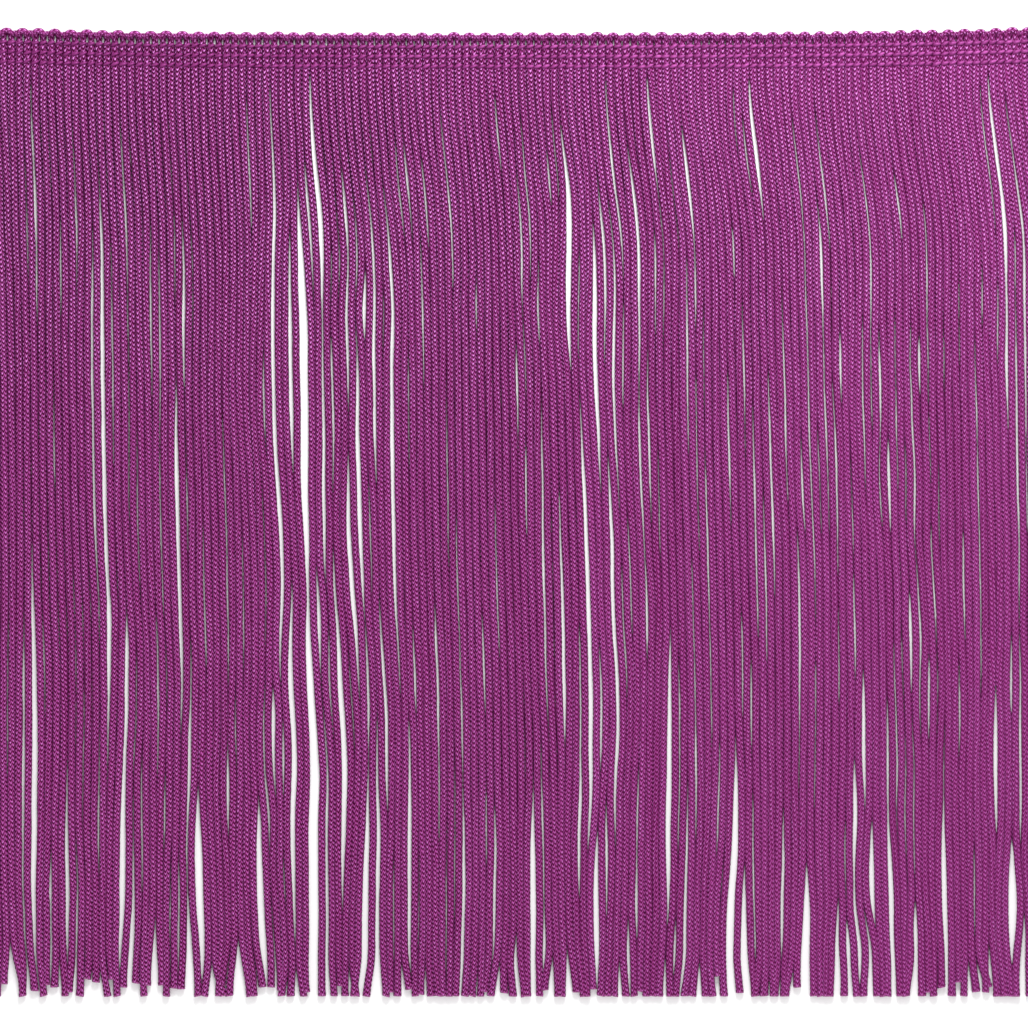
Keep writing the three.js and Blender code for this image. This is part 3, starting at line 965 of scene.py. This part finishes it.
def makeLuckGroup():
    # two random numbers for each stitch of each cord: the columns are counted round, and the cord is
    # told by its own tone
    group, given, out = newGroup(
        "stitchLuck",
        [("Column", "NodeSocketFloat"), ("Course", "NodeSocketFloat"), ("Cord", "NodeSocketFloat")],
        [("Luck", "NodeSocketFloat"), ("Aside", "NodeSocketFloat")],
    )
    column = calc(group, "FLOOR", calc(group, "ADD", given.outputs["Column"], 0.5))
    cell = group.nodes.new("ShaderNodeCombineXYZ")
    group.links.new(calc(group, "MODULO", column, float(cordKnit["columns"])), cell.inputs[0])
    group.links.new(calc(group, "FLOOR", calc(group, "ADD", given.outputs["Course"], 0.5)), cell.inputs[1])
    group.links.new(given.outputs["Cord"], cell.inputs[2])
    noise = group.nodes.new("ShaderNodeTexWhiteNoise")
    noise.noise_dimensions = "3D"
    group.links.new(cell.outputs[0], noise.inputs["Vector"])
    group.links.new(noise.outputs["Value"], out.inputs["Luck"])
    parts = group.nodes.new("ShaderNodeSeparateColor")
    group.links.new(noise.outputs["Color"], parts.inputs[0])
    group.links.new(parts.outputs[1], out.inputs["Aside"])
    return group


luckGroup = makeLuckGroup()


def stitchLuck(tree, column, course):
    node = tree.nodes.new("ShaderNodeGroup")
    node.node_tree = luckGroup
    tree.links.new(column, node.inputs["Column"])
    tree.links.new(course, node.inputs["Course"])
    tree.links.new(attributeOf(tree, "tone"), node.inputs["Cord"])
    return node.outputs["Luck"], node.outputs["Aside"]


cordFinish = {
    # the colour of the painted shade in the pits between courses
    "pit": (0.052, 0.0003, 0.015),
    # the colour of the softer painted shade about the line between courses
    "hollow": (0.108, 0.003, 0.05),
    "body": (0.22, 0.018, 0.137),
    # the colour of the painted highlight along the legs
    "paintedLegHighlight": (0.52, 0.092, 0.41),
    # the colour of the painted glints at the tips
    "crest": (0.98, 0.33, 0.95),
    "cut": (0.65, 0.24, 0.52),
    "shine": (1.0, 0.3, 0.9),
    "vDepth": 0.7,  # how far a V's tip hangs below its arms, in courses
    "helix": 0.5,  # the courses climb by this from column to column
    "pitDepth": 1.6,  # how dark the painted shade line between two courses is, and how deep its dent
    "pitSharp": 1.8,
    "shadeSharp": 1.3,  # of the softer painted shade about that line
    "shade": 0.9,
    "tipSharp": 2.2,  # the round painted glint at a tip, along the cord and round it
    "tipNarrow": 2.4,
    "legSharp": 2.2,
    "luck": 0.2,  # how far stitches lie off their places, in columns and courses
    "tone": 0.03,
    "streakLines": 9.0,
    "bump": 0.6,
    "bumpDistance": 0.00015,
    "roughness": 0.26,  # and what the streaks add to it
    "roughStreaks": 0.2,
    "specular": 0.08,
}


def makeCordMaterial(name, paintedGlintStrength, paintedLegHighlight):
    # u counts columns and v courses. The strand of a course runs in Vs: w is v less the V's sag, which
    # is deepest in the middle of a column. Each stitch has a round painted glint at its tip and a fainter
    # painted highlight along its legs, stronger on the side that the painted leg light attribute names.
    # Stitches differ at random. Between two courses runs a dark line of painted shade in the same Vs,
    # deepest under the tips, which is also dented in the bump.
    finish = cordFinish
    material, tree, shader = newMaterial(name)
    u, v = uvParts(tree)
    v = calc(tree, "SUBTRACT", v, product(tree, u, finish["helix"]))
    luck, lateral = stitchLuck(tree, u, v)
    u = calc(tree, "ADD", u, product(tree, calc(tree, "SUBTRACT", lateral, 0.5), finish["luck"]))
    aside = calc(tree, "SUBTRACT", calc(tree, "FRACT", calc(tree, "ADD", u, 0.5)), 0.5)
    sag = product(tree, calc(tree, "ABSOLUTE", aside), 2 * finish["vDepth"])
    sag = calc(tree, "SUBTRACT", sag, finish["vDepth"])
    off = product(tree, calc(tree, "SUBTRACT", luck, 0.5), finish["luck"])
    w = calc(tree, "ADD", calc(tree, "ADD", v, sag), off)
    tipAt = calc(tree, "SUBTRACT", calc(tree, "ADD", v, product(tree, sag, 0.5)), finish["vDepth"] / 2)
    tips = product(tree, crestsOf(tree, tipAt, finish["tipSharp"]), crestsOf(tree, u, finish["tipNarrow"]))
    tips = product(tree, tips, calc(tree, "ADD", product(tree, luck, 1.3), 0.35))
    # the painted leg highlight leans to the side that the painted leg light attribute names
    lean = product(tree, calc(tree, "MULTIPLY", aside, attributeOf(tree, "paintedLegLightSide")), 2.0)
    legs = product(tree, crestsOf(tree, w, finish["legSharp"]), calc(tree, "ADD", lean, 0.7))
    # the painted shade in the pits is deepest under the tips
    under = calc(tree, "ADD", product(tree, crestsOf(tree, u, 1.6), 0.65), 0.35)
    paintedSparkle = attributeOf(tree, "paintedSparkle")
    # how deep the painted shade is, more where the painted sparkle is high
    place = attributeOf(tree, "paintedShadeAndDent")
    paintedShadeAndDent = product(tree, calc(tree, "ADD", product(tree, paintedSparkle, 0.5), 0.62), place)
    # painted shade in the pits between courses, also used as dents in the bump
    pit = product(tree, crestsOf(tree, w, finish["pitSharp"], 0.5), under, paintedShadeAndDent, finish["pitDepth"])
    # a softer painted shade about the same line
    shade = product(tree, crestsOf(tree, w, finish["shadeSharp"], 0.5), place, finish["shade"])
    streak = streaks(tree, u, w, finish["streakLines"])
    colour = blendColour(tree, shade, finish["body"], finish["hollow"])
    # the painted leg highlight is dimmer where the painted sparkle is high
    dimmer = calc(tree, "ADD", product(tree, paintedSparkle, -0.6), 1.1)
    tone = product(tree, attributeOf(tree, "tone"), finish["tone"])
    paintedLegLight = calc(tree, "ADD", product(tree, legs, dimmer, paintedLegHighlight), tone)
    colour = blendColour(tree, paintedLegLight, colour, finish["paintedLegHighlight"])
    # painted glints at the tips, as strong as the painted sparkle
    paintedGlint = product(tree, tips, paintedGlintStrength, paintedSparkle, calc(tree, "ADD", product(tree, streak, 0.8), 0.6))
    colour = blendColour(tree, paintedGlint, colour, finish["crest"])
    colour = blendColour(tree, pit, colour, finish["pit"])
    colour = blendColour(tree, product(tree, attributeOf(tree, "cutEdge"), streak), colour, finish["cut"])
    # the colour is scaled by the painted light of its place, with painted shade on the cords' sides and the
    # turns painted lighter
    colour = blendColour(tree, attributeOf(tree, "dyeAndPaintedLight"), (0, 0, 0), colour)
    tree.links.new(colour, shader.inputs["Base Color"])
    relief = calc(tree, "ADD", calc(tree, "ADD", tips, legs), product(tree, streak, 0.25))
    height = calc(tree, "SUBTRACT", relief, pit)
    setBump(tree, shader, height, finish["bump"], finish["bumpDistance"])
    rough = calc(tree, "ADD", product(tree, streak, finish["roughStreaks"]), finish["roughness"])
    tree.links.new(rough, shader.inputs["Roughness"])
    setInputs(shader, {"Specular IOR Level": finish["specular"], "Specular Tint": (*finish["shine"], 1)})
    return material


threadFinish = {
    "body": (0.15, 0.014, 0.10),
    # the colour of the painted highlight
    "crest": (0.50, 0.10, 0.40),
    "lines": 8.0,
    # how much the painted highlight band on the upper edge's side adds
    "paintedUpperBand": 0.2,
    "paintedUpperBandAt": 0.14,  # where the painted highlight band on the upper edge's side is, as a share of the way round
    "tone": 0.05,
    "bump": 0.5,
    "bumpDistance": 0.0001,
    "roughness": 0.33,
    "specular": 0.5,
}


def makeThreadMaterial(name):
    # smooth filament with fine streaks along it, painted brighter where its painted sparkle is high, and
    # with a painted highlight band on the upper edge's side
    finish = threadFinish
    material, tree, shader = newMaterial(name)
    u, v = uvParts(tree)
    streak = streaks(tree, v, u, finish["lines"])
    tone = product(tree, attributeOf(tree, "tone"), finish["tone"])
    # a painted highlight band on the upper edge's side
    paintedUpperSide = product(tree, crestsOf(tree, u, 2.0, finish["paintedUpperBandAt"]), finish["paintedUpperBand"])
    paintedUpperSide = calc(tree, "ADD", paintedUpperSide, 1 - finish["paintedUpperBand"])
    # painted highlight: the streaks lit by the painted sparkle and the upper band
    paintedThreadLight = product(tree, calc(tree, "ADD", streak, tone), attributeOf(tree, "paintedSparkle"), paintedUpperSide, 2.0)
    colour = blendColour(tree, paintedThreadLight, finish["body"], finish["crest"])
    tree.links.new(colour, shader.inputs["Base Color"])
    setBump(tree, shader, streak, finish["bump"], finish["bumpDistance"])
    setInputs(shader, {"Roughness": finish["roughness"], "Specular IOR Level": finish["specular"]})
    setInputs(shader, {"Specular Tint": (*cordFinish["shine"], 1)})
    return material


cordMaterial = makeCordMaterial("knittedCord", paintedGlintStrength=2.2, paintedLegHighlight=1.1)
headingMaterial = makeCordMaterial("gatheredCord", paintedGlintStrength=2.2, paintedLegHighlight=0.7)
turnMaterial = makeCordMaterial("turnedCord", paintedGlintStrength=1.6, paintedLegHighlight=1.15)
stitchMaterial = makeThreadMaterial("sewingThread")
for piece in fringePieces:
    piece.data.materials.append(cordMaterial)
headingPiece.data.materials.append(headingMaterial)
for piece in turnPieces:
    piece.data.materials.append(turnMaterial)
for piece in stitchPieces:
    piece.data.materials.append(stitchMaterial)
print("materials made")

# What each piece stands for. The cords are the strands of a fringe, sewn at the heading, so none is a
# free cord.
for piece in fringePieces:
    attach(piece, "root")
    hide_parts("fringe")
for piece in [headingPiece] + turnPieces:
    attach(piece, "root")
    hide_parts("heading")
for i, piece in enumerate(stitchPieces):
    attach(piece, "root")
    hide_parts(f"stitch_row_{i + 1}")

# The pale floor and the studio light
studio = {
    "floorSize": 8.0,
    "floorColour": (0.93, 0.93, 0.93),
    "floorDrop": 0.0002,
    "floorRoughness": 0.9,
    "world": 0.84,
}


def makeFloor():
    half = studio["floorSize"] / 2
    corners = [(-half, -half), (half, -half), (half, half), (-half, half)]
    mesh = bpy.data.meshes.new("floor")
    mesh.from_pydata([(x, y, -studio["floorDrop"]) for x, y in corners], [], [(0, 1, 2, 3)])
    floor = bpy.data.objects.new("floor", mesh)
    bpy.context.scene.collection.objects.link(floor)
    material, _, shader = newMaterial("paleFloor")
    colour = (*studio["floorColour"], 1)
    setInputs(shader, {"Base Color": colour, "Roughness": studio["floorRoughness"], "Specular IOR Level": 0})
    mesh.materials.append(material)


def makeLamp(name, place, size, watts):
    data = bpy.data.lights.new(name, "AREA")
    data.shape = "DISK"
    data.size = size
    data.energy = watts
    lamp = bpy.data.objects.new(name, data)
    lamp.location = place
    lamp.rotation_mode = "QUATERNION"
    lamp.rotation_quaternion = (-Vector(place)).to_track_quat("-Z", "Y")
    bpy.context.scene.collection.objects.link(lamp)


makeFloor()
makeLamp("keyLamp", place=(0.05, 0.58, 0.45), size=0.28, watts=4.7)
makeLamp("fillLamp", place=(0.3, -0.3, 1.4), size=0.9, watts=3.6)
world = bpy.data.worlds.new("studio")
world.use_nodes = True
world.node_tree.nodes["Background"].inputs["Color"].default_value = (1, 1, 1, 1)
world.node_tree.nodes["Background"].inputs["Strength"].default_value = studio["world"]
bpy.context.scene.world = world
bpy.context.scene.view_settings.view_transform = "Standard"
print("studio made")
